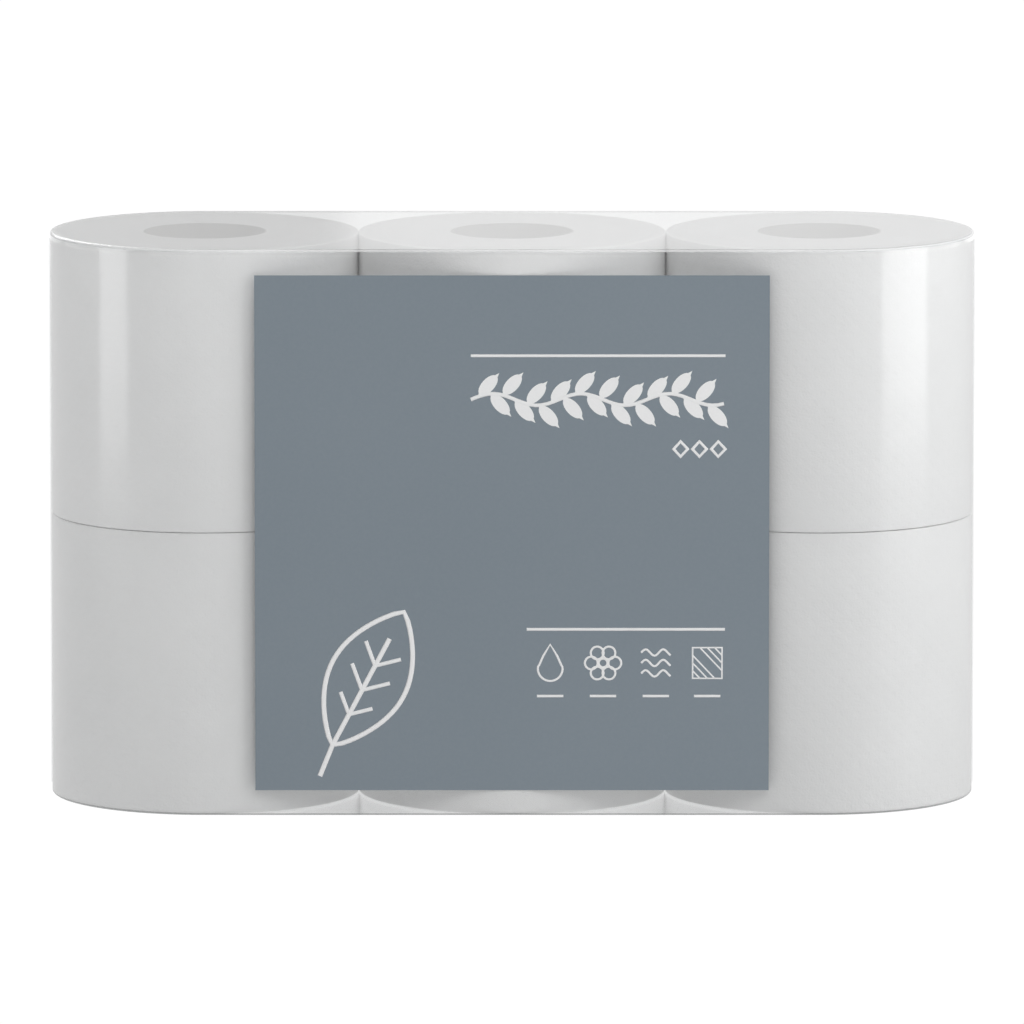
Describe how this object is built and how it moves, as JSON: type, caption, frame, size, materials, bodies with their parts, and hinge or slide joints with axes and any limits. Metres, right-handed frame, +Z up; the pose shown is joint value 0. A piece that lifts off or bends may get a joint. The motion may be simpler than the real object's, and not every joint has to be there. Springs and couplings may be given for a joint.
{
  "type": "toilet paper roll pack",
  "caption": "Sealed pack of toilet paper rolls on board cores, standing on end in rows two high inside a tight skin of clear film with a plain label on the front.",
  "frame": {"origin": "centre of the base on which the pack stands", "axes": "+X along the row of rolls, to the right as seen from the front; the label faces -Y; +Z up, along the axes of the rolls"},
  "size_m": [0.3174, 0.1063, 0.1945],
  "materials": {
    "tissue": "soft, matte, wound white tissue",
    "board": "matte, spiral-wound pale grey board",
    "film": "clear, glossy, tight",
    "label": "matte grey-blue with fine white line figures"
  },
  "bodies": {
    "root": {"roll_upper_left": "tissue", "roll_upper_middle": "tissue", "roll_upper_right": "tissue", "roll_lower_left": "tissue", "roll_lower_middle": "tissue", "roll_lower_right": "tissue", "core_upper_left": "board", "core_upper_middle": "board", "core_upper_right": "board", "core_lower_left": "board", "core_lower_middle": "board", "core_lower_right": "board", "film_wrap": "film", "front_label": "label"}
  },
  "joints": []
}
